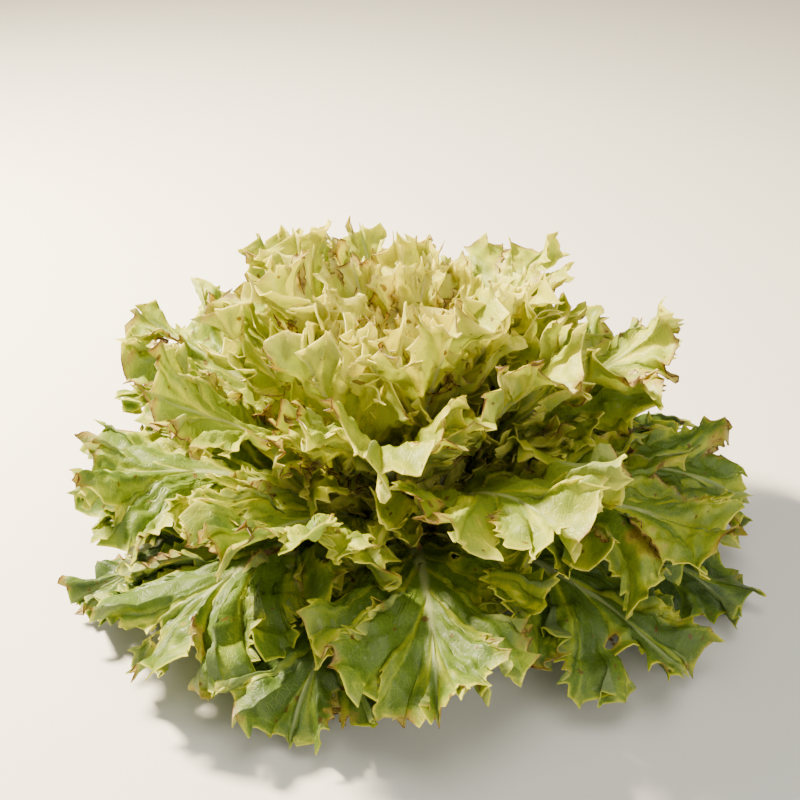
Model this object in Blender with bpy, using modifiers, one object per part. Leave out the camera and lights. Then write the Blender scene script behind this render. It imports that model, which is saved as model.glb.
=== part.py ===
"""A head of curly endive, cut below the crown and standing on the cut.

Metres, +Z up, with the origin at the middle of the cut. Leaves grow from the crown in one spiral, a golden angle
apart, from the outermost at the bottom to the heart at the top. Each leaf lies on its own surface of revolution.
These surfaces nest like bowls and never cross, so no leaf meets another. A leaf's place in the nest is its depth,
from 0 for the outermost to 1 for the heart's middle.
"""

import math

import bmesh
import bpy
import numpy as np

LEAF_COUNT = 54
LAST_OUTER_LEAF = 18
LAST_MIDDLE_LEAF = 38
GOLDEN_ANGLE = math.radians(137.508)
FIRST_AZIMUTH = math.radians(205.0)
SEED = 11

# Where leaves leave the crown, outermost and innermost, and the gap from a leaf's thick end to the crown.
BASE_RADIUS = (0.0240, 0.0060)
BASE_HEIGHT = (0.0125, 0.0400)
BASE_BEND = 1.25
BASE_GAP = 0.0011

# The crown is a short turned stem: the radius of its cut face, and how many rings and steps draw it.
CUT_RADIUS = 0.0150
CUT_BEVEL = 0.0010
CROWN_RINGS = 7
CROWN_STEPS = 24

# Directions above the horizontal at a leaf's base and at FULL_LENGTH along it, outermost and innermost.
# A leaf's uprightness is its place between the two, at five depths: outer leaves lie low, inner ones stand.
START_DIRECTION = (math.radians(25.0), math.radians(86.0))
END_DIRECTION = (math.radians(-58.0), math.radians(80.0))
UPRIGHT_DEPTHS = (0.0, 0.22, 0.42, 0.62, 1.0)
UPRIGHTNESS = (0.0, 0.17, 0.55, 0.82, 1.0)
ARCH_POWER = 1.25
FULL_LENGTH = 0.205
PROFILE_STEPS = 82

# Leaf sizes at five depths.
SIZE_DEPTHS = (0.0, 0.35, 0.60, 0.80, 1.0)
LEAF_LENGTHS = (0.178, 0.176, 0.156, 0.118, 0.070)
LEAF_HALF_WIDTHS = (0.060, 0.060, 0.055, 0.036, 0.016)
BASE_HALF_WIDTHS = (0.0085, 0.0075, 0.0056, 0.0042, 0.0022)
WIDEST_TURN = math.radians(66.0)
LENGTH_SPREAD = 0.07

# Shares of a leaf's length: the stalk's end, how far the blade then takes to open, and its widest place.
STALK_END = 0.12
BLADE_OPENING = 0.58
WIDEST_AT = 0.74
TIP_NARROWING = 0.42
TIP_ROUNDING = 0.17

BLADE_THICKNESS = 0.0009
RIB_THICKNESS = (0.0030, 0.0010)
RIB_TAPER = 1.3

# The blade's sides wave up and down out of step, and the waves grow to full height along the leaf.
WAVES_ALONG = 2.5
WAVE_HEIGHTS = (0.0034, 0.0044, 0.0012, 0.0006, 0.0002)
WAVE_GROWTH = 0.5
SIDES_OUT_OF_STEP = 1.3

# Leaves that reach the ground lie on it in layers, each a little above the last.
GROUND_CLEARANCE = 0.0006
GROUND_LAYERS_RISE = 0.110

ROWS = 9
COLUMNS = 4

OUTER_GREEN = (0.16, 0.30, 0.06)
HEART_YELLOW = (0.78, 0.76, 0.30)
CROWN_CREAM = (0.78, 0.74, 0.52)
LEAF_ROUGHNESS = 0.42
CROWN_ROUGHNESS = 0.55
MERGE_DISTANCE = 0.0001


def mix(ends, share):
    """The value this share of the way from the first end to the second."""
    return ends[0] + (ends[1] - ends[0]) * share


def clear_scene():
    for obj in list(bpy.data.objects):
        bpy.data.objects.remove(obj)


def make_material(name, colour, roughness):
    material = bpy.data.materials.new(name)
    material.use_nodes = True
    shader = material.node_tree.nodes["Principled BSDF"]
    shader.inputs["Base Color"].default_value = (*colour, 1.0)
    shader.inputs["Roughness"].default_value = roughness
    shader.inputs["Metallic"].default_value = 0.0
    return material


def bowl(depth):
    """The bowl's profile at this depth: distances along it, radii, heights and directions."""
    distances = np.linspace(0.0, FULL_LENGTH, PROFILE_STEPS)
    upright = np.interp(depth, UPRIGHT_DEPTHS, UPRIGHTNESS)
    ends = (mix(START_DIRECTION, upright), mix(END_DIRECTION, upright))
    directions = mix(ends, (distances / FULL_LENGTH) ** ARCH_POWER)
    step = FULL_LENGTH / (PROFILE_STEPS - 1)
    middles = (directions[1:] + directions[:-1]) / 2
    radii = mix(BASE_RADIUS, depth) + np.concatenate([[0.0], np.cumsum(np.cos(middles)) * step])
    heights = mix(BASE_HEIGHT, depth ** BASE_BEND) + np.concatenate([[0.0], np.cumsum(np.sin(middles)) * step])
    return distances, radii, heights, directions


def half_width(along, base, widest):
    """Half the leaf's width at this share of its length: a stalk, a blade that opens, and a narrower tip."""
    swell = min(max((along - STALK_END) / BLADE_OPENING, 0.0), 1.0)
    swell = swell * swell * (3.0 - 2.0 * swell)
    narrowing = max(along - WIDEST_AT, 0.0) / (1.0 - WIDEST_AT)
    return mix((base, widest), swell) * (1.0 - TIP_NARROWING * narrowing ** 2)


def leaf_point(profile, size, azimuth, phase, along, across):
    """A point of the middle surface: along runs 0 to 1 from base to tip, across -1 to 1 from side to side."""
    distances, radii, heights, directions = profile
    length, widest, base, wave, floor = size
    distance = length * along * (1.0 - TIP_ROUNDING * across ** 2 * along ** 2)
    radius = np.interp(distance, distances, radii)
    height = np.interp(distance, distances, heights)
    direction = np.interp(distance, distances, directions)
    turn = across * half_width(along, base, widest) / radius
    turn = WIDEST_TURN * math.tanh(turn / WIDEST_TURN)
    lift = wave * across ** 2 * min(along / WAVE_GROWTH, 1.0) ** 2
    lift *= math.sin(2.0 * math.pi * WAVES_ALONG * along + phase + math.copysign(SIDES_OUT_OF_STEP, across))
    radius -= lift * math.sin(direction)
    height += lift * math.cos(direction)
    height = max(height, floor)
    return radius * math.cos(azimuth + turn), radius * math.sin(azimuth + turn), height


def rib_weight(along, across, rib):
    """The share of the rib's thickness that the leaf has here: all at the base's middle, least at the edges."""
    blade = BLADE_THICKNESS / rib
    return blade + (1.0 - blade) * (1.0 - along) ** RIB_TAPER * (1.0 - across ** 2)


def make_leaf(number, rng, collection):
    depth = (number + 0.5) / LEAF_COUNT
    if number < LAST_OUTER_LEAF:
        name = f"outer_leaf_{number + 1:02d}"
    elif number < LAST_MIDDLE_LEAF:
        name = f"middle_leaf_{number + 1 - LAST_OUTER_LEAF:02d}"
    else:
        name = f"heart_leaf_{number + 1 - LAST_MIDDLE_LEAF:02d}"
    length = np.interp(depth, SIZE_DEPTHS, LEAF_LENGTHS) * (1.0 + rng.uniform(-1.0, 1.0) * LENGTH_SPREAD)
    widest = np.interp(depth, SIZE_DEPTHS, LEAF_HALF_WIDTHS)
    base = np.interp(depth, SIZE_DEPTHS, BASE_HALF_WIDTHS)
    wave = np.interp(depth, SIZE_DEPTHS, WAVE_HEIGHTS)
    phase = rng.uniform(0.0, 2.0 * math.pi)
    floor = GROUND_CLEARANCE + BLADE_THICKNESS / 2 + depth * GROUND_LAYERS_RISE
    azimuth = FIRST_AZIMUTH + number * GOLDEN_ANGLE
    profile = bowl(depth)
    rib = mix(RIB_THICKNESS, depth)

    surface = bmesh.new()
    bmesh.ops.create_grid(surface, x_segments=COLUMNS, y_segments=ROWS, size=1.0)
    weights = surface.verts.layers.deform.new()
    for vertex in surface.verts:
        across, along = vertex.co.x, (vertex.co.y + 1.0) / 2.0
        vertex[weights][0] = rib_weight(along, across, rib)
        vertex.co = leaf_point(profile, (length, widest, base, wave, floor), azimuth, phase, along, across)
    mesh = bpy.data.meshes.new(name)
    surface.to_mesh(mesh)
    surface.free()
    mesh.shade_smooth()

    leaf = bpy.data.objects.new(name, mesh)
    collection.objects.link(leaf)
    leaf.vertex_groups.new(name="rib")
    solidify = leaf.modifiers.new("thickness", "SOLIDIFY")
    solidify.thickness = rib
    solidify.offset = 0.0
    solidify.vertex_group = "rib"
    solidify.use_even_offset = False
    colour = [mix((outer, heart), depth) for outer, heart in zip(OUTER_GREEN, HEART_YELLOW)]
    mesh.materials.append(make_material(name, colour, LEAF_ROUGHNESS))
    return leaf


def make_crown(collection):
    """The short stem that carries every leaf, turned about Z, with its flat cut face at the bottom."""
    depths = np.linspace(1.0, 0.0, CROWN_RINGS)
    radii = [mix(BASE_RADIUS, depth) - mix(RIB_THICKNESS, depth) / 2 - BASE_GAP for depth in depths]
    side = [(radius, mix(BASE_HEIGHT, depth ** BASE_BEND)) for radius, depth in zip(radii, depths)]
    foot = [(CUT_RADIUS + CUT_BEVEL, CUT_BEVEL), (CUT_RADIUS, 0.0), (0.0, 0.0)]
    profile = [(0.0, BASE_HEIGHT[1]), *side, *foot]
    mesh = bpy.data.meshes.new("crown")
    mesh.from_pydata([(r, 0.0, z) for r, z in profile], [(i, i + 1) for i in range(len(profile) - 1)], [])
    mesh.materials.append(make_material("crown", CROWN_CREAM, CROWN_ROUGHNESS))
    crown = bpy.data.objects.new("crown", mesh)
    collection.objects.link(crown)
    screw = crown.modifiers.new("turn", "SCREW")
    screw.steps = CROWN_STEPS
    screw.render_steps = CROWN_STEPS
    screw.use_merge_vertices = True
    screw.merge_threshold = MERGE_DISTANCE
    return crown


def main():
    clear_scene()
    collection = bpy.data.collections.new("curly_endive_head")
    bpy.context.scene.collection.children.link(collection)
    make_crown(collection)
    rng = np.random.default_rng(SEED)
    for number in range(LEAF_COUNT):
        make_leaf(number, rng, collection)


main()
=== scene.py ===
"""The looks of a head of curly endive: a frilled, toothed leaf for every leaf of the part, and the crown.

A leaf is first drawn flat. Its lines start at the midrib, lean towards the tip and end on the margin, as the
side veins do. It is then laid on its bowl, the surface of revolution that its plain solid lies on, with its
ruffles, veins and blisters standing off that surface. Everything is in metres, +Z up.
"""

import math

import bpy
import numpy as np
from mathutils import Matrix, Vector


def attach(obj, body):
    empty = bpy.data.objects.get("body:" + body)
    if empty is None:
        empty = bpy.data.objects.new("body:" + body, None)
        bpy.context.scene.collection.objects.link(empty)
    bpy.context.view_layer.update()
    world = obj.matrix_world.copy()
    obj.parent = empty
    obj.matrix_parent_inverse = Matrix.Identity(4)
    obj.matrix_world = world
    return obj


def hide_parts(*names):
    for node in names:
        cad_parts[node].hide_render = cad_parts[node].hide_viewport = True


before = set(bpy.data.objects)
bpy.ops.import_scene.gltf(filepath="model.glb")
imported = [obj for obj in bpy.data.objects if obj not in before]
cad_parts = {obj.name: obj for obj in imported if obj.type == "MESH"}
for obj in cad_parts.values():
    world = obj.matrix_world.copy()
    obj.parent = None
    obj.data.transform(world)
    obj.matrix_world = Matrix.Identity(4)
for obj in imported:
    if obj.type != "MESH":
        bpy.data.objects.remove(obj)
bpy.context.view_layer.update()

# The nest of leaves, as in the part: how many, where each grows, and the bowl that it lies on.
LEAF_COUNT = 54
LAST_OUTER_LEAF = 18
LAST_MIDDLE_LEAF = 38
GOLDEN_ANGLE = math.radians(137.508)
FIRST_AZIMUTH = math.radians(205.0)
GROWTH_SEED = 11
BASE_RADIUS = (0.0240, 0.0060)
BASE_HEIGHT = (0.0125, 0.0400)
BASE_BEND = 1.25
START_DIRECTION = (math.radians(25.0), math.radians(86.0))
END_DIRECTION = (math.radians(-58.0), math.radians(80.0))
UPRIGHT_DEPTHS = (0.0, 0.22, 0.42, 0.62, 1.0)
UPRIGHTNESS = (0.0, 0.17, 0.55, 0.82, 1.0)
ARCH_POWER = 1.25
FULL_LENGTH = 0.205
PROFILE_STEPS = 82
ROOTED_LENGTH = 0.005

# Leaf sizes at five depths, from the outermost leaf to the heart's middle.
SIZE_DEPTHS = (0.0, 0.35, 0.60, 0.80, 1.0)
LEAF_LENGTHS = (0.178, 0.176, 0.156, 0.118, 0.070)
LEAF_HALF_WIDTHS = (0.062, 0.063, 0.060, 0.050, 0.030)
BASE_HALF_WIDTHS = (0.0085, 0.0075, 0.0056, 0.0042, 0.0022)
LENGTH_SPREAD = 0.07
WIDEST_TURN = math.radians(66.0)

# The margin: teeth on each side at the five depths, each drawn by its places and rises from one valley to the
# next, and rows from the midrib to the margin. Teeth are spread by the real length of the cut margin.
TEETH = (92, 96, 90, 60, 34)
TOOTH_SHAPE = ((0.0, 0.0), (0.26, 0.10), (0.46, 0.42), (0.62, 1.0), (0.78, 0.26))
TOOTH_REACH = (0.0056, 0.0060, 0.0058, 0.0048, 0.0036)
TOOTH_VARIETY = (0.35, 0.95)
TOOTH_LEAN = (-0.1, 0.8)
TOOTH_JITTER = 0.3
ROWS = 20
ROW_CROWDING = 1.2
MARGIN_SAMPLES = 3000

# Bays cut deep towards the midrib and scallops cut a little. Widths are shares of the margin, and depths are
# shares of the way to the midrib. A bay's depth is given at the leaf's base and at its tip.
BAYS = 7
BAY_WIDTHS = (0.017, 0.034)
BAY_DEPTHS = (0.74, 0.46)
BAY_VARIETY = (0.50, 1.10)
BAY_JITTER = 0.28
BAY_MOUTH_PINCH = 0.0085
SCALLOPS = 12
SCALLOP_WIDTHS = (0.007, 0.013)
SCALLOP_DEPTHS = (0.04, 0.15)
MARGIN_BULGE = 0.08

# Lines start on the midrib up to this share of the length, crowded at the base, and bend on the way out.
LAST_LINE_START = 0.84
LINE_CROWDING = 2.1
LINE_BEND = (0.30, 0.64)

# Heights of the ruffles off the bowl at the margin, in three sizes, and how many waves of each a side has.
LONG_RUFFLE = (0.0105, 0.0115, 0.0105, 0.0070, 0.0034)
MIDDLE_RUFFLE = (0.0078, 0.0086, 0.0082, 0.0062, 0.0034)
SHORT_RUFFLE = (0.0030, 0.0032, 0.0030, 0.0024, 0.0014)
LONG_WAVES = (2.6, 3.4)
MIDDLE_WAVES = (8.5, 10.5)
SHORT_WAVES = (21.0, 26.0)

# How a leaf leaves its bowl, at the five depths and by chance: its margin's curl, its sides' cup, its lean
# inwards, and its roll, twist and sway.
CURL = (0.0048, 0.0056, 0.0056, 0.0040, 0.0020)
CURL_REACH = 0.010
CUP = (-0.001, 0.001, 0.004, 0.004, 0.002)
CUP_VARIETY = (0.3, 1.5)
LEAN = (0.010, 0.025, 0.035, 0.024, 0.006)
LARGEST_ROLL = 0.08
LARGEST_TWIST = 0.14
LARGEST_SWAY = 0.09

# Relief of the blade: small and large blisters, grooves over the veins, the rib below it, and eaten holes.
BLISTER_HEIGHTS = (0.0013, 0.0028)
BLISTER_SIZES = (0.0085, 0.024)
BLISTER_SHARES = (1.0, 1.0, 0.9, 0.7, 0.4)
BLISTER_WAVES = 10
MAIN_VEINS = 10
VEIN_GROOVE = 0.0015
RIB_HEIGHTS = (0.0026, 0.0024, 0.0018, 0.0012, 0.0006)
HOLES = (8.0, 8.0, 9.0, 3.0, 0.0)
HOLE_SIZES = (0.0009, 0.0030)
HOLE_STRETCH = (0.8, 1.9)

BLADE_THICKNESS = 0.00045
FLOOR_GAP = 0.0005
LOWEST_MIDDLE = FLOOR_GAP + 0.0008
FLOOR_SOFTNESS = 0.003

# The crown: how far its side lies inside the leaves' bases, its cut, and the scars of trimmed leaves on it.
CROWN_SETBACK = 0.0015
CUT_RADIUS = 0.0150
CUT_BEVEL = 0.0010
CROWN_SCARS = 13
CROWN_COLUMNS = 160


def mix(ends, share):
    """The value this share of the way from the first end to the second."""
    return ends[0] + (ends[1] - ends[0]) * share


def ease(value):
    """0 below 0, 1 above 1, and a smooth rise between."""
    value = np.clip(value, 0.0, 1.0)
    return value * value * (3.0 - 2.0 * value)


def wander(rng, places, bends):
    """A smooth random curve between -1 and 1, with about this many bends while places go from 0 to 1."""
    values = rng.uniform(-1.0, 1.0, bends + 2)
    at = np.clip(places, 0.0, 1.0) * bends
    cell = at.astype(int)
    share = ease(at - cell)
    return values[cell] * (1.0 - share) + values[cell + 1] * share


def bowl(depth):
    """The bowl's profile at this depth: distances along it, radii, heights and directions."""
    distances = np.linspace(0.0, FULL_LENGTH, PROFILE_STEPS)
    upright = np.interp(depth, UPRIGHT_DEPTHS, UPRIGHTNESS)
    ends = (mix(START_DIRECTION, upright), mix(END_DIRECTION, upright))
    directions = mix(ends, (distances / FULL_LENGTH) ** ARCH_POWER)
    step = FULL_LENGTH / (PROFILE_STEPS - 1)
    middles = (directions[1:] + directions[:-1]) / 2
    radii = mix(BASE_RADIUS, depth) + np.concatenate([[0.0], np.cumsum(np.cos(middles)) * step])
    rises = np.concatenate([[0.0], np.cumsum(np.sin(middles)) * step])
    heights = mix(BASE_HEIGHT, depth ** BASE_BEND) + rises
    rooted = (-ROOTED_LENGTH, radii[0] - ROOTED_LENGTH * math.cos(ends[0]),
              heights[0] - ROOTED_LENGTH * math.sin(ends[0]), ends[0])
    columns = (distances, radii, heights, directions)
    return [np.concatenate([[first], rest]) for first, rest in zip(rooted, columns)]


def on_bowl(profile, azimuth, x, y, lift):
    """Points of the leaf: x across the leaf, y along it, lift off the bowl towards the head's middle."""
    distances, radii, heights, directions = profile
    radius = np.interp(y, distances, radii)
    height = np.interp(y, distances, heights)
    direction = np.interp(y, distances, directions)
    turn = azimuth - WIDEST_TURN * np.tanh(x / np.maximum(radius, 0.004) / WIDEST_TURN)
    radius = radius - lift * np.sin(direction)
    height = height + lift * np.cos(direction)
    return np.stack([radius * np.cos(turn), radius * np.sin(turn), height], axis=-1)


def half_outline(length, widest, base):
    """One side of the flat leaf without lobes or teeth, from the base to the tip, with its distances."""
    centre = 0.66 * length
    y = np.linspace(-ROOTED_LENGTH, centre, 240)
    x = base + (widest - base) * ease((y / length - 0.10) / 0.56)
    angles = np.linspace(0.0, math.pi / 2, 240)[1:]
    x = np.concatenate([x, widest * np.cos(angles) ** 0.80])
    y = np.concatenate([y, centre + (length - centre) * np.sin(angles) ** 0.90])
    steps = np.hypot(np.diff(x), np.diff(y))
    distances = np.concatenate([[0.0], np.cumsum(steps)])
    return x, y, distances


def margin_points(q, outline):
    """Where each line meets the plain outline, and the outline's direction there."""
    x, y, distances = outline
    at = q * distances[-1]
    step = 0.001
    point = np.stack([np.interp(at, distances, x), np.interp(at, distances, y)], axis=-1)
    tangent = np.stack([np.interp(at + step, distances, x) - np.interp(at - step, distances, x),
                        np.interp(at + step, distances, y) - np.interp(at - step, distances, y)], axis=-1)
    tangent /= np.linalg.norm(tangent, axis=1, keepdims=True)
    return point, tangent


def rib_start(q, size):
    """How far up the midrib a line starts. The lines fan out from the leaf's lower half."""
    return mix((-ROOTED_LENGTH, LAST_LINE_START * size["length"]), q ** LINE_CROWDING)


def margin_lines(rng, size, outline):
    """One side's lines: their shares of the margin, where they end on it, and the teeth that they end in."""
    middles = (np.arange(BAYS) + 0.95 + rng.uniform(-BAY_JITTER, BAY_JITTER, BAYS)) / (BAYS + 0.9)
    middles = np.append(middles, rng.uniform(0.10, 0.98, SCALLOPS))
    widths = np.append(rng.uniform(*BAY_WIDTHS, BAYS), rng.uniform(*SCALLOP_WIDTHS, SCALLOPS))
    depths = mix(BAY_DEPTHS, middles[:BAYS]) * rng.uniform(*BAY_VARIETY, BAYS)
    depths = np.append(depths, rng.uniform(*SCALLOP_DEPTHS, SCALLOPS))
    uneven = rng.integers(1 << 30)

    def cut_margin(q):
        point, tangent = margin_points(q, outline)
        rib = np.stack([np.zeros_like(q), rib_start(q, size)], axis=-1)
        away = (q[:, None] - middles) / widths
        bays = np.exp(-np.abs(away) ** 3)
        cut = (depths * bays).max(axis=1)
        pinch = (-BAY_MOUTH_PINCH * depths * away * np.exp(-(away / 1.25) ** 2)).sum(axis=1)
        pinch = pinch * (1.0 - ease((q - 0.96) / 0.04))
        bulge = MARGIN_BULGE * wander(np.random.default_rng(uneven), q, 12)
        end = rib + (point - rib) * (1.0 + bulge - cut)[:, None] + pinch[:, None] * tangent
        return end, cut, bays[:, :BAYS].max(axis=1), tangent

    fine = np.linspace(0.0, 1.0, MARGIN_SAMPLES)
    steps = np.linalg.norm(np.diff(cut_margin(fine)[0], axis=0), axis=1)
    run = np.concatenate([[0.0], np.cumsum(steps)]) / steps.sum()

    teeth = size["teeth"]
    starts = (np.arange(teeth) + rng.uniform(-TOOTH_JITTER, TOOTH_JITTER, teeth)) / teeth
    starts[0] = 0.0
    starts = np.append(starts, 1.0)
    reach = size["reach"] * (TOOTH_VARIETY[0] + TOOTH_VARIETY[1] * rng.random(teeth) ** 1.3)
    lean = rng.uniform(*TOOTH_LEAN, teeth)
    spans = list(zip(starts[:-1], starts[1:]))
    places = [mix(span, place) for span in spans for place, _ in TOOTH_SHAPE]
    rises = [rise * reach[tooth] for tooth in range(teeth) for _, rise in TOOTH_SHAPE]
    q = np.interp(places + [1.0], run, fine)
    end, cut, bay, slope = cut_margin(q)
    end[-1, 0] = 0.0
    shore = 1.0 - 0.8 * ease((bay - 0.72) / 0.25)
    rise = np.array(rises + [size["reach"]]) * shore * (0.45 + 0.55 * ease(q / 0.3))
    along = np.gradient(end, axis=0)
    along[-1] = slope[-1]
    along /= np.maximum(np.linalg.norm(along, axis=1, keepdims=True), 1e-9)
    outward = np.stack([along[:, 1], -along[:, 0]], axis=-1)
    lean = np.append(np.repeat(lean, len(TOOTH_SHAPE)), 0.0)
    tooth = rise[:, None] * (outward + lean[:, None] * along)
    return {"q": q, "end": end, "cut": cut, "tooth": tooth, "slope": slope}


def vein_strength(rng, q, v, total):
    """How strongly a side vein shows at each line and row of one side."""
    strength = np.zeros((len(q), len(v)))
    spread = total * mix((0.62, 1.0), v) * 0.8

    def grow(centre, level, begins):
        nonlocal strength
        width = (0.0016, 0.0011, 0.0008)[level] * mix((1.0, 0.6), v)
        away = (q[:, None] - centre[None, :]) * spread[None, :]
        shown = ease((v - begins) / 0.06) * (1.0, 0.75, 0.5)[level] * (1.0 - 0.4 * v)
        strength = np.maximum(strength, shown[None, :] * np.exp(-(away / width[None, :]) ** 2))
        if level == 2:
            return
        for side in (-1.0, 1.0):
            fork = rng.uniform(*((0.12, 0.45), (0.50, 0.75))[level])
            offset = side * rng.uniform(0.22, 0.36) / MAIN_VEINS / (level + 1.0)
            grow(centre + offset * np.clip((v - fork) / (1.0 - fork), 0.0, 1.0) ** 0.8, level + 1, fork)

    for vein in range(MAIN_VEINS):
        place = (vein + 0.6 + rng.uniform(-0.2, 0.2)) / MAIN_VEINS
        grow(np.full_like(v, place), 0, 0.0)
    return strength


def blisters(rng, x, y, wavelength):
    """Random swellings of about this wavelength over the flat leaf, between about -1 and 1."""
    total = np.zeros_like(x)
    for _ in range(BLISTER_WAVES):
        angle = rng.uniform(0.0, math.pi)
        pace = 2.0 * math.pi / (wavelength * rng.uniform(0.75, 1.4))
        total += np.sin((x * math.cos(angle) + y * math.sin(angle)) * pace + rng.uniform(0.0, 2.0 * math.pi))
    return np.tanh(total / math.sqrt(BLISTER_WAVES / 2.0))


def ruffles(rng, q, v, cut, size):
    """Lift of the blade off its bowl and slide along its margin, for each line and row of one side."""
    lift = np.zeros((len(q), len(v)))
    slide = np.zeros_like(lift)
    for height, count, power, meander, whole in (
        (size["long"], rng.uniform(*LONG_WAVES), 1.7, 0.0, 1.0),
        (size["middle"], rng.uniform(*MIDDLE_WAVES), 2.2, 0.60, 0.7),
        (size["short"], rng.uniform(*SHORT_WAVES), 4.5, 0.5, 0.0),
    ):
        phase = 2.0 * math.pi * (q * count + rng.random() + 0.30 * wander(rng, q, 6))
        swing = height * (1.0 + 0.45 * wander(rng, q, 9)) * ease(q / 0.22)
        grown = (v[None, :] * (1.0 - whole * cut[:, None])) ** power
        lift += (swing * np.sin(phase))[:, None] * grown
        slide += (meander * swing * np.sin(2.0 * phase))[:, None] * grown
    return lift, slide


def edge_distance(flat):
    """Each point's distance to the margin, which is the last row of the grid."""
    places = flat.reshape(-1, 2).astype(np.float32)
    margin = flat[:, -1].astype(np.float32)
    square = (places ** 2).sum(axis=1)[:, None] + (margin ** 2).sum(axis=1)
    square = square - 2.0 * places @ margin.T
    return np.sqrt(np.maximum(square.min(axis=1), 0.0)).reshape(flat.shape[:2]).astype(float)


def leaf_sheet(rng, size):
    """Each side's grid: its flat layout, its lift off the bowl and the values that its finish needs."""
    outline = half_outline(size["length"], size["widest"], size["base"])
    v = 1.0 - (1.0 - np.arange(ROWS + 1) / ROWS) ** ROW_CROWDING
    sides = [margin_lines(rng, size, outline) for _ in range(2)]
    rib_y = rib_start((sides[0]["q"] + sides[1]["q"]) / 2.0, size)
    rib = np.stack([np.zeros_like(rib_y), rib_y], axis=-1)
    roll = rng.uniform(-LARGEST_ROLL, LARGEST_ROLL)
    twist = rng.uniform(-LARGEST_TWIST, LARGEST_TWIST)
    cup = size["cup"] * rng.uniform(*CUP_VARIETY)
    sway = rng.uniform(-LARGEST_SWAY, LARGEST_SWAY)
    lean = rng.uniform(-1.0, 1.0) * size["lean"]
    w = v[None, :, None]
    grids = []
    for side, line in zip((1.0, -1.0), sides):
        q, end = line["q"], line["end"]
        bend = rib + np.stack([LINE_BEND[0] * end[:, 0], LINE_BEND[1] * (end[:, 1] - rib_y)], axis=-1)
        flat = (1 - w) ** 2 * rib[:, None] + 2 * w * (1 - w) * bend[:, None] + w ** 2 * end[:, None]
        flat = flat + line["tooth"][:, None] * ease((v - 0.80) / 0.20)[None, :, None]
        edge = edge_distance(flat)
        lift, slide = ruffles(rng, q, v, line["cut"], size)
        curl = size["curl"] * wander(rng, q, 7)
        lift = lift + curl[:, None] * (1.0 - ease(edge / CURL_REACH)) ** 1.5
        before_tip = 1.0 - ease((q - 0.96) / 0.04)[:, None]
        flat = flat + (slide * before_tip)[:, :, None] * line["slope"][:, None]
        flat[-1, :, 0] = 0.0
        flat[:, 0, 0] = 0.0
        flat[:, :, 0] = np.maximum(flat[:, :, 0], 0.0) * side
        veins = vein_strength(rng, q, v, outline[2][-1])
        grids.append({"flat": flat, "lift": lift, "edge": edge, "veins": veins, "q": q})
    # Both sides end on one line at the tip, so their lifts draw together before it.
    ends = [grid["lift"][-1] for grid in grids]
    for grid, end in zip(grids, ends):
        near_tip = ease((grid["q"] - 0.90) / 0.10)[:, None]
        grid["lift"] = grid["lift"] + near_tip * ((ends[0] + ends[1]) / 2.0 - end)
    bumps = rng.integers(1 << 30)
    swells = rng.integers(1 << 30)
    for grid in grids:
        x, y = grid["flat"][..., 0], grid["flat"][..., 1]
        along = np.clip(y / size["length"], 0.0, 1.0)
        across = x / size["widest"]
        blade = ease(grid["edge"] / 0.004) * ease((np.abs(x) - 0.002) / 0.006)
        small = blisters(np.random.default_rng(bumps), x, y, BLISTER_SIZES[0])
        large = blisters(np.random.default_rng(swells), x, y, BLISTER_SIZES[1])
        lift = grid["lift"] + BLISTER_HEIGHTS[0] * small * blade * size["blister"]
        lift = lift + BLISTER_HEIGHTS[1] * large * ease(np.abs(x) / 0.02) * size["blister"]
        lift = lift - VEIN_GROOVE * grid["veins"] * ease(grid["edge"] / 0.006)
        lift = lift + cup * np.abs(across) ** 1.6 * ease(along / 0.4)
        lift = lift + (roll + twist * (along - 0.4)) * x * ease(along / 0.3)
        lift = lift + lean * size["length"] * along ** 2
        grid["along"] = along
        grid["lift_all"] = lift
        grid["sway"] = sway * size["length"] * along ** 2
    return grids


def join_sides(grids):
    """One index grid per side. The sides share the midrib and the last line, which runs to the tip."""
    lines, rows = grids[0]["veins"].shape
    first = np.arange(lines * rows).reshape(lines, rows)
    second = first + lines * rows
    second[:, 0] = first[:, 0]
    second[-1, :] = first[-1, :]
    quads = []
    for index, flip in ((first, False), (second, True)):
        a, b, c, d = index[:-1, :-1], index[:-1, 1:], index[1:, 1:], index[1:, :-1]
        corners = (d, c, b, a) if flip else (a, b, c, d)
        quads.append(np.stack(corners, axis=-1).reshape(-1, 4))
    return np.concatenate(quads)


def vertex_normals(points, quads):
    """Unit normals of a quad sheet's points."""
    a, b, c, d = (points[quads[:, corner]] for corner in range(4))
    face = np.cross(c - a, d - b)
    normals = np.zeros_like(points)
    for corner in range(4):
        np.add.at(normals, quads[:, corner], face)
    return normals / np.maximum(np.linalg.norm(normals, axis=1, keepdims=True), 1e-12)


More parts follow.
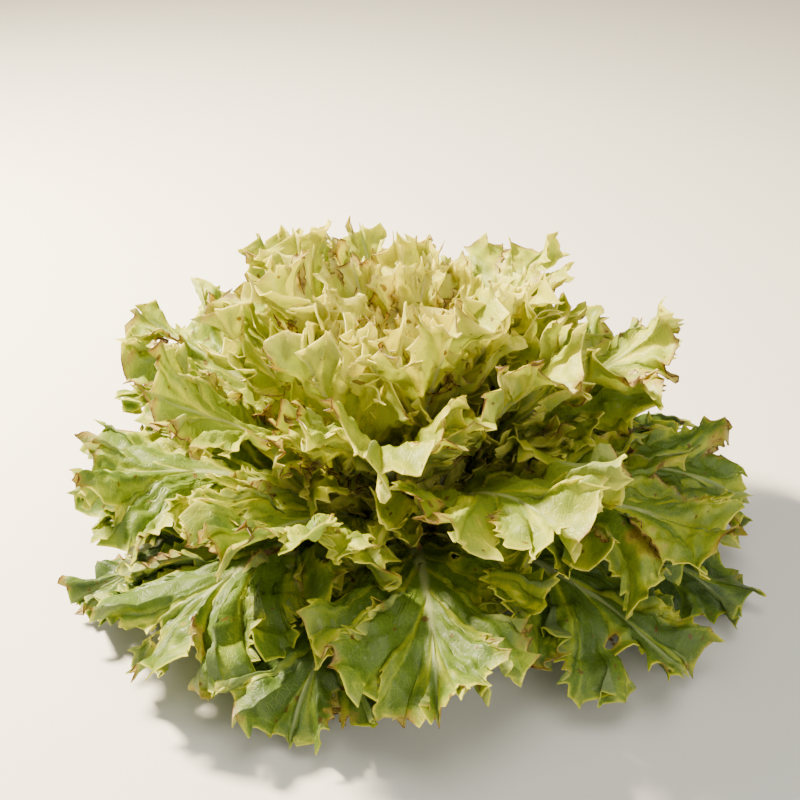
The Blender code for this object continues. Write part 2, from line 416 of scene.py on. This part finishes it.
def bite_holes(rng, flat, quads, edge, size):
    """Bites small holes with round rims. Returns which quads are kept and the distances to an edge."""
    middles = flat[quads].mean(axis=1)
    kept = np.ones(len(quads), bool)
    for _ in range(rng.poisson(size["holes"])):
        spot = middles[rng.integers(len(middles))]
        if abs(spot[0]) < 0.006 or spot[1] < 0.3 * size["length"]:
            continue
        wide = rng.uniform(*HOLE_SIZES)
        tall = wide * rng.uniform(*HOLE_STRETCH)
        angle = rng.uniform(0.0, math.pi)
        turned = np.array([[math.cos(angle), math.sin(angle)], [-math.sin(angle), math.cos(angle)]])

        def distance(points):
            local = (points - spot) @ turned.T / (wide, tall)
            bearing = np.arctan2(local[:, 1], local[:, 0])
            return np.linalg.norm(local, axis=1) / (1.0 + 0.15 * np.sin(3.0 * bearing + angle))

        inside = kept & (distance(middles) < 1.0)
        if inside.sum() < 4:
            continue
        kept &= ~inside
        rim = np.intersect1d(np.unique(quads[inside]), np.unique(quads[kept]))
        away = np.maximum(distance(flat[rim]), 0.3)[:, None]
        flat[rim] = spot + (flat[rim] - spot) / away
        edge = np.minimum(edge, np.maximum(distance(flat) - 1.0, 0.0) * wide)
    return kept, edge


def stack_sides(grids, key):
    """Both sides' values of this name as one list, in the order of the indices."""
    return np.concatenate([grid[key].reshape(-1, *grid[key].shape[2:]) for grid in grids])


def solid_leaf(name, size, grids, quads, kept, flat, edge, number):
    """A closed leaf from its sheet: an upper face, a lower face set off by blade and rib, and a rim."""
    points = stack_sides(grids, "place")
    quads = quads[kept]
    used, quads = np.unique(quads, return_inverse=True)
    quads = quads.reshape(-1, 4)
    points, flat, edge = points[used], flat[used], edge[used]
    veins = stack_sides(grids, "veins")[used]
    along = stack_sides(grids, "along")[used]

    # The floor pushes the lowest parts up softly.
    above = points[:, 2] - LOWEST_MIDDLE
    points[:, 2] = LOWEST_MIDDLE + (above + np.sqrt(above ** 2 + FLOOR_SOFTNESS ** 2)) / 2.0

    rib_width = mix((0.72 * size["base"] + 0.0005, 0.0007), along ** 0.55)
    rib = 1.0 / (1.0 + (flat[:, 0] / rib_width) ** 4)
    rib_height = size["rib"] * (1.0 - along) ** 1.3 + 0.0004 * (1.0 - along)
    normals = vertex_normals(points, quads)
    upper = points + normals * (BLADE_THICKNESS / 2 - 0.15 * rib_height * rib)[:, None]
    lower = points - normals * (BLADE_THICKNESS / 2 + rib_height * rib + 0.0003 * veins)[:, None]
    lower[:, 2] = np.maximum(lower[:, 2], FLOOR_GAP)
    count = len(points)

    pairs = np.stack([quads, np.roll(quads, -1, axis=1)], axis=-1).reshape(-1, 2)
    forward = pairs[:, 0].astype(np.int64) * count + pairs[:, 1]
    back = pairs[:, 1].astype(np.int64) * count + pairs[:, 0]
    open_pairs = pairs[~np.isin(forward, back)]
    a, b = open_pairs[:, 0], open_pairs[:, 1]
    rim = np.stack([b, a, a + count, b + count], axis=-1)
    faces = np.concatenate([quads, quads[:, ::-1] + count, rim])

    mesh = bpy.data.meshes.new(name)
    mesh.vertices.add(2 * count)
    mesh.vertices.foreach_set("co", np.concatenate([upper, lower]).astype(np.float32).ravel())
    mesh.loops.add(faces.size)
    mesh.loops.foreach_set("vertex_index", faces.astype(np.int32).ravel())
    mesh.polygons.add(len(faces))
    mesh.polygons.foreach_set("loop_start", (np.arange(len(faces)) * 4).astype(np.int32))
    mesh.update(calc_edges=True)
    mesh.validate()

    # The bake map: the upper face in the left half, the lower face in the right half, the rim just outside.
    tall = size["length"] * 1.16
    wide = size["widest"] * 2.7
    own = np.stack([flat[:, 0] / wide + 0.5, (flat[:, 1] + 0.010) / tall], axis=-1)
    left = own * (0.48, 0.96) + (0.01, 0.01)
    right = own * (0.48, 0.96) + (0.51, 0.01)
    run = flat[b] - flat[a]
    outward = np.stack([run[:, 1], -run[:, 0]], axis=-1)
    outward /= np.maximum(np.linalg.norm(outward, axis=1, keepdims=True), 1e-9)
    strip = outward * 0.0006 / (wide, tall) * (0.48, 0.96)
    rim_uv = np.stack([left[b], left[a], left[a] + strip, left[b] + strip], axis=1)
    uv = np.concatenate([left[quads], right[quads[:, ::-1]], rim_uv]).reshape(-1, 2)
    layer = mesh.uv_layers.new(name="OFBake")
    layer.data.foreach_set("uv", np.clip(uv, 0.0, 1.0).astype(np.float32).ravel())

    depth = (number + 0.5) / LEAF_COUNT
    pale = 0.90 * depth + 0.24 * (1.0 - along) ** 2
    values = {
        "pale": pale,
        "vein": veins,
        "rib": rib * (1.0 - 0.55 * along),
        "edge": edge * 1000.0,
        "lower": np.zeros(count),
    }
    for key, value in values.items():
        attribute = mesh.attributes.new(key, "FLOAT", "POINT")
        second = np.ones(count) if key == "lower" else value
        attribute.data.foreach_set("value", np.concatenate([value, second]).astype(np.float32))
    veinwise = np.stack([flat[:, 0], flat[:, 1], np.full(count, number * 0.37)], axis=-1)
    attribute = mesh.attributes.new("flat", "FLOAT_VECTOR", "POINT")
    attribute.data.foreach_set("vector", np.concatenate([veinwise, veinwise]).astype(np.float32).ravel())
    mesh.shade_smooth()
    mesh.set_sharp_from_angle(angle=math.radians(70.0))
    return mesh


def leaf_size(number, jitter):
    """Every size that changes from the outermost leaf to the heart."""
    depth = (number + 0.5) / LEAF_COUNT

    def at(values):
        return float(np.interp(depth, SIZE_DEPTHS, values))

    return {
        "length": at(LEAF_LENGTHS) * (1.0 + jitter * LENGTH_SPREAD) - 0.8 * at(TOOTH_REACH),
        "widest": at(LEAF_HALF_WIDTHS),
        "base": at(BASE_HALF_WIDTHS),
        "teeth": int(at(TEETH)),
        "reach": at(TOOTH_REACH),
        "long": at(LONG_RUFFLE),
        "middle": at(MIDDLE_RUFFLE),
        "short": at(SHORT_RUFFLE),
        "curl": at(CURL),
        "cup": at(CUP),
        "lean": at(LEAN),
        "blister": at(BLISTER_SHARES),
        "rib": at(RIB_HEIGHTS),
        "holes": at(HOLES),
    }


def make_leaf(number, jitter, material):
    """One leaf, in the place of its plain solid."""
    if number < LAST_OUTER_LEAF:
        slot, name = "outer_leaf", f"outer_leaf_{number + 1:02d}"
    elif number < LAST_MIDDLE_LEAF:
        slot, name = "middle_leaf", f"middle_leaf_{number + 1 - LAST_OUTER_LEAF:02d}"
    else:
        slot, name = "heart_leaf", f"heart_leaf_{number + 1 - LAST_MIDDLE_LEAF:02d}"
    rng = np.random.default_rng((GROWTH_SEED, number))
    size = leaf_size(number, jitter)
    profile = bowl((number + 0.5) / LEAF_COUNT)
    azimuth = FIRST_AZIMUTH + number * GOLDEN_ANGLE
    grids = leaf_sheet(rng, size)
    quads = join_sides(grids)
    flat = stack_sides(grids, "flat")
    edge = stack_sides(grids, "edge")
    kept, edge = bite_holes(rng, flat, quads, edge, size)
    # Points that a hole's rim moved are laid on the bowl again.
    for index, grid in enumerate(grids):
        shape = grid["veins"].shape
        block = slice(index * shape[0] * shape[1], (index + 1) * shape[0] * shape[1])
        grid["moved"] = flat[block].reshape(*shape, 2)
        x = grid["moved"][..., 0] + grid["sway"]
        grid["place"] = on_bowl(profile, azimuth, x, grid["moved"][..., 1], grid["lift_all"])
    mesh = solid_leaf(name + "_frill", size, grids, quads, kept, flat, edge, number)
    mesh.materials.append(material)
    leaf = bpy.data.objects.new(name + "_frill", mesh)
    bpy.context.scene.collection.objects.link(leaf)
    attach(leaf, "root")
    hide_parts(name)


class Graph:
    """A material's nodes, with short calls for the sums that the finishes use."""

    def __init__(self, name):
        self.material = bpy.data.materials.new(name)
        self.material.use_nodes = True
        self.tree = self.material.node_tree
        self.tree.nodes.clear()

    def node(self, kind, **settings):
        made = self.tree.nodes.new(kind)
        for key, value in settings.items():
            setattr(made, key, value)
        return made

    def feed(self, value, socket):
        if hasattr(value, "links"):
            self.tree.links.new(value, socket)
        elif hasattr(socket.default_value, "__len__") and not hasattr(value, "__len__"):
            socket.default_value = [value] * len(socket.default_value)
        elif hasattr(value, "__len__") and len(socket.default_value) == 4 and len(value) == 3:
            socket.default_value = (*value, 1.0)
        else:
            socket.default_value = value

    def value(self, name):
        return self.node("ShaderNodeAttribute", attribute_name=name).outputs["Fac"]

    def vector(self, name):
        return self.node("ShaderNodeAttribute", attribute_name=name).outputs["Vector"]

    def math(self, operation, *values, clamp=False):
        made = self.node("ShaderNodeMath", operation=operation, use_clamp=clamp)
        for value, socket in zip(values, made.inputs):
            self.feed(value, socket)
        return made.outputs[0]

    def span(self, value, low, high, to_low=0.0, to_high=1.0):
        made = self.node("ShaderNodeMapRange", interpolation_type="SMOOTHSTEP")
        for entry, socket in zip((value, low, high, to_low, to_high), made.inputs):
            self.feed(entry, socket)
        return made.outputs[0]

    def blend(self, share, first, second, mode="MIX"):
        made = self.node("ShaderNodeMix", data_type="RGBA", blend_type=mode)
        colours = [socket for socket in made.inputs if socket.type == "RGBA"]
        self.feed(share, made.inputs["Factor"])
        self.feed(first, colours[0])
        self.feed(second, colours[1])
        return [socket for socket in made.outputs if socket.type == "RGBA"][0]

    def ramp(self, value, stops):
        made = self.node("ShaderNodeValToRGB")
        elements = made.color_ramp.elements
        while len(elements) < len(stops):
            elements.new(0.5)
        for element, (position, colour) in zip(elements, stops):
            element.position = position
            element.color = (*colour, 1.0)
        self.feed(value, made.inputs["Fac"])
        return made.outputs["Color"]

    def noise(self, place, scale, detail=3.0, roughness=0.55):
        made = self.node("ShaderNodeTexNoise")
        self.feed(place, made.inputs["Vector"])
        made.inputs["Scale"].default_value = scale
        made.inputs["Detail"].default_value = detail
        made.inputs["Roughness"].default_value = roughness
        return made.outputs["Fac"]

    def cells(self, place, scale):
        made = self.node("ShaderNodeTexVoronoi", feature="DISTANCE_TO_EDGE")
        self.feed(place, made.inputs["Vector"])
        made.inputs["Scale"].default_value = scale
        return made.outputs["Distance"]


BLADE_COLOURS = (
    (0.00, (0.052, 0.105, 0.020)),
    (0.25, (0.175, 0.275, 0.032)),
    (0.48, (0.440, 0.520, 0.045)),
    (0.72, (0.740, 0.745, 0.070)),
    (1.00, (0.920, 0.880, 0.190)),
)

RIB_COLOURS = (
    (0.0, (0.46, 0.55, 0.22)),
    (0.5, (0.70, 0.72, 0.38)),
    (1.0, (0.86, 0.83, 0.58)),
)


def leaf_material():
    """Living leaf: greener outside, paler inside, with cream ribs, netted veins and dried, browned edges."""
    graph = Graph("leaf")
    place = graph.node("ShaderNodeTexCoord").outputs["Object"]
    flat = graph.vector("flat")
    mottle = graph.noise(place, 45.0, 4.0)
    grain = graph.noise(place, 700.0, 2.0)
    net = graph.cells(flat, 330.0)
    fine_net = graph.cells(flat, 900.0)
    net_line = graph.span(net, 0.0, 0.10, 1.0, 0.0)
    fine_line = graph.span(fine_net, 0.0, 0.12, 1.0, 0.0)

    shade = graph.math("MULTIPLY", graph.math("SUBTRACT", mottle, 0.5), 0.22)
    pale = graph.math("ADD", graph.value("pale"), shade)
    vein = graph.value("vein")
    rib = graph.value("rib")
    edge = graph.value("edge")
    paler = graph.math("MULTIPLY_ADD", vein, 0.40, pale)
    paler = graph.math("MULTIPLY_ADD", net_line, 0.07, paler)
    paler = graph.math("MULTIPLY_ADD", fine_line, 0.03, paler)
    paler = graph.math("ADD", paler, graph.span(edge, 0.0, 5.0, 0.14, 0.0))
    paler = graph.math("ADD", paler, graph.span(edge, 0.2, 1.3, 0.30, 0.0), clamp=True)
    blade = graph.ramp(paler, BLADE_COLOURS)
    rib_colour = graph.ramp(pale, RIB_COLOURS)
    colour = graph.blend(graph.span(rib, 0.10, 0.85), blade, rib_colour)
    lower = graph.value("lower")
    colour = graph.blend(graph.math("MULTIPLY", lower, 0.16), colour, (0.62, 0.66, 0.42))

    # Dried margins come in patches. Their rim is brown and fades to tan within a couple of millimetres.
    patch = graph.noise(place, 26.0, 2.0)
    wear = graph.math("SUBTRACT", graph.noise(place, 380.0, 2.0), 0.5)
    ragged = graph.math("MULTIPLY_ADD", wear, 1.6, edge)
    dry = graph.span(patch, 0.50, 0.64)
    tan = graph.math("MULTIPLY", graph.span(ragged, 0.5, 2.2, 1.0, 0.0), dry)
    brown = graph.math("MULTIPLY", graph.span(ragged, 0.0, 0.9, 1.0, 0.0), dry)
    colour = graph.blend(graph.math("MULTIPLY", tan, 0.65), colour, (0.50, 0.30, 0.075))
    colour = graph.blend(graph.math("MULTIPLY", brown, 0.9), colour, (0.13, 0.045, 0.012))

    flecks = graph.span(graph.noise(place, 150.0, 1.0), 0.715, 0.745)
    colour = graph.blend(graph.math("MULTIPLY", flecks, 0.75), colour, (0.20, 0.085, 0.022))

    relief = graph.math("MULTIPLY", net_line, -0.6)
    relief = graph.math("ADD", relief, graph.math("MULTIPLY", fine_line, -0.25))
    relief = graph.math("ADD", relief, graph.math("MULTIPLY", grain, 0.35))
    bump = graph.node("ShaderNodeBump")
    bump.inputs["Strength"].default_value = 0.5
    bump.inputs["Distance"].default_value = 0.00035
    graph.feed(relief, bump.inputs["Height"])

    shader = graph.node("ShaderNodeBsdfPrincipled")
    graph.feed(colour, shader.inputs["Base Color"])
    graph.feed(graph.math("MULTIPLY_ADD", lower, 0.12, graph.span(mottle, 0.2, 0.8, 0.32, 0.46)),
               shader.inputs["Roughness"])
    graph.feed(bump.outputs["Normal"], shader.inputs["Normal"])
    shader.inputs["Specular IOR Level"].default_value = 0.45
    glow = graph.node("ShaderNodeBsdfTranslucent")
    graph.feed(graph.blend(1.0, colour, (1.0, 0.97, 0.62), "MULTIPLY"), glow.inputs["Color"])
    graph.feed(bump.outputs["Normal"], glow.inputs["Normal"])
    both = graph.node("ShaderNodeMixShader")
    both.inputs["Fac"].default_value = 0.50
    graph.feed(shader.outputs[0], both.inputs[1])
    graph.feed(glow.outputs[0], both.inputs[2])
    output = graph.node("ShaderNodeOutputMaterial")
    graph.feed(both.outputs[0], output.inputs["Surface"])
    return graph.material


def crown_material():
    """Cream stem with milky grain; the cut face has browned with drying."""
    graph = Graph("crown")
    place = graph.node("ShaderNodeTexCoord").outputs["Object"]
    mottle = graph.noise(place, 120.0, 4.0)
    colour = graph.ramp(mottle, ((0.3, (0.62, 0.60, 0.36)), (0.7, (0.80, 0.76, 0.52))))
    height = graph.node("ShaderNodeSeparateXYZ")
    graph.feed(place, height.inputs[0])
    dried = graph.math("MULTIPLY", graph.span(height.outputs["Z"], 0.0005, 0.0022, 1.0, 0.0),
                       graph.span(graph.noise(place, 300.0, 4.0), 0.35, 0.65, 0.5, 1.0))
    colour = graph.blend(graph.math("MULTIPLY", dried, 0.8), colour, (0.36, 0.19, 0.07))
    colour = graph.blend(graph.math("MULTIPLY", graph.value("scar"), 0.75), colour, (0.30, 0.17, 0.06))
    bump = graph.node("ShaderNodeBump")
    bump.inputs["Strength"].default_value = 0.4
    bump.inputs["Distance"].default_value = 0.0004
    graph.feed(graph.noise(place, 500.0, 3.0), bump.inputs["Height"])
    shader = graph.node("ShaderNodeBsdfPrincipled")
    graph.feed(colour, shader.inputs["Base Color"])
    shader.inputs["Roughness"].default_value = 0.55
    graph.feed(bump.outputs["Normal"], shader.inputs["Normal"])
    output = graph.node("ShaderNodeOutputMaterial")
    graph.feed(shader.outputs[0], output.inputs["Surface"])
    return graph.material


def make_crown(material):
    """The stem under the leaves: scars of trimmed leaves round its cone, fine grain and a hollow cut."""
    depths = np.linspace(1.0, 0.0, 34)
    side_radii = mix(BASE_RADIUS, depths) - CROWN_SETBACK
    side = np.stack([side_radii, mix(BASE_HEIGHT, depths ** BASE_BEND)], axis=-1)
    fall = np.linspace(0.0, 1.0, 30)[1:, None]
    cone = mix((side[-1], np.array([CUT_RADIUS + CUT_BEVEL, CUT_BEVEL])), fall)
    cone[:, 0] += 0.0010 * np.sin(math.pi * fall[:, 0])
    across = np.linspace(1.0, 0.05, 14)
    cut = np.stack([CUT_RADIUS * across, 0.0009 * (1.0 - across ** 2)], axis=-1)
    r, z = np.concatenate([side, cone, cut]).T
    turns = np.linspace(0.0, 2.0 * math.pi, CROWN_COLUMNS, endpoint=False)
    r = np.repeat(r[:, None], CROWN_COLUMNS, axis=1)
    z = np.repeat(z[:, None], CROWN_COLUMNS, axis=1)
    on_cone = ease((BASE_HEIGHT[0] + 0.001 - z) / 0.002) * ease((z - CUT_BEVEL) / 0.001)
    scar = np.zeros_like(r)
    for number in range(CROWN_SCARS):
        bearing = FIRST_AZIMUTH - (number + 1) * GOLDEN_ANGLE
        level = mix((BASE_HEIGHT[0] - 0.0015, CUT_BEVEL + 0.0020), number / (CROWN_SCARS - 1.0))
        away = np.angle(np.exp(1j * (turns[None, :] - bearing))) * r
        bow = level - 0.0016 * (away / 0.0065) ** 2
        fade = 1.0 - ease((np.abs(away) - 0.006) / 0.002)
        scar = np.maximum(scar, np.exp(-((z - bow) / 0.0008) ** 2) * fade)
    grain = np.sin(turns * 47.0 + 2.0 * np.sin(turns * 5.0)) + np.sin(turns * 29.0 + 1.3)
    grown = r + on_cone * (0.0007 * scar + 0.00012 * grain[None, :])
    grown *= 1.0 + 0.025 * np.sin(2.0 * turns + 0.6) + 0.015 * np.sin(3.0 * turns)
    rings = np.stack([grown * np.cos(turns), grown * np.sin(turns), z], axis=-1)
    points = np.concatenate([[(0.0, 0.0, BASE_HEIGHT[1])], rings.reshape(-1, 3), [(0.0, 0.0, cut[-1, 1])]])
    index = np.arange(rings.shape[0] * CROWN_COLUMNS).reshape(-1, CROWN_COLUMNS) + 1
    after = np.roll(index, -1, axis=1)
    walls = np.stack([index[:-1], index[1:], after[1:], after[:-1]], axis=-1).reshape(-1, 4)
    lid = [(0, a, b) for a, b in zip(index[0], after[0])]
    base = [(len(points) - 1, b, a) for a, b in zip(index[-1], after[-1])]
    mesh = bpy.data.meshes.new("crown_stem")
    mesh.from_pydata(points.tolist(), [], walls.tolist() + lid + base)
    attribute = mesh.attributes.new("scar", "FLOAT", "POINT")
    scars = np.concatenate([[0.0], (scar * on_cone).ravel(), [0.0]])
    attribute.data.foreach_set("value", scars.astype(np.float32))
    mesh.shade_smooth()
    mesh.set_sharp_from_angle(angle=math.radians(60.0))
    mesh.materials.append(material)
    crown = bpy.data.objects.new("crown_stem", mesh)
    bpy.context.scene.collection.objects.link(crown)
    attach(crown, "root")
    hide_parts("crown")


def make_stage():
    """A pale floor, soft studio lights and the camera."""
    bpy.ops.mesh.primitive_plane_add(size=12.0, location=(0.0, 0.0, 0.0))
    floor = bpy.context.object
    floor.name = "floor"
    paper = bpy.data.materials.new("floor")
    paper.use_nodes = True
    shader = paper.node_tree.nodes["Principled BSDF"]
    shader.inputs["Base Color"].default_value = (0.72, 0.70, 0.66, 1.0)
    shader.inputs["Roughness"].default_value = 0.9
    floor.data.materials.append(paper)

    world = bpy.data.worlds.new("studio")
    bpy.context.scene.world = world
    world.use_nodes = True
    background = world.node_tree.nodes["Background"]
    background.inputs["Color"].default_value = (0.92, 0.95, 0.96, 1.0)
    background.inputs["Strength"].default_value = 0.20

    for name, place, size, watts, colour in (
        ("key", (-0.78, 0.42, 0.94), 0.20, 134.0, (1.0, 0.85, 0.58)),
        ("top", (0.10, -0.30, 1.40), 1.00, 13.0, (1.0, 0.96, 0.86)),
        ("fill", (0.60, -1.20, 0.70), 1.00, 13.0, (1.0, 0.96, 0.86)),
    ):
        light = bpy.data.objects.new(name, bpy.data.lights.new(name, "AREA"))
        light.data.shape = "DISK"
        light.data.size = size
        light.data.energy = watts
        light.data.color = colour
        light.location = place
        aim = Vector((0.0, 0.0, 0.06)) - Vector(place)
        light.rotation_euler = aim.to_track_quat("-Z", "Y").to_euler()
        bpy.context.scene.collection.objects.link(light)

    camera = bpy.data.objects.new("camera", bpy.data.cameras.new("camera"))
    camera.data.lens = 58.0
    target = Vector((0.0, 0.0, 0.093))
    elevation = math.radians(30.0)
    distance = 0.695
    camera.location = target + distance * Vector((0.0, -math.cos(elevation), math.sin(elevation)))
    camera.rotation_euler = (target - camera.location).to_track_quat("-Z", "Y").to_euler()
    bpy.context.scene.collection.objects.link(camera)
    bpy.context.scene.camera = camera


def main():
    # The part draws a length and a wave's phase for each leaf, and only the length is used here.
    growth = np.random.default_rng(GROWTH_SEED)
    leaf = leaf_material()
    for number in range(LEAF_COUNT):
        jitter = growth.uniform(-1.0, 1.0)
        growth.uniform(0.0, 2.0 * math.pi)
        make_leaf(number, jitter, leaf)
    make_crown(crown_material())
    make_stage()


main()
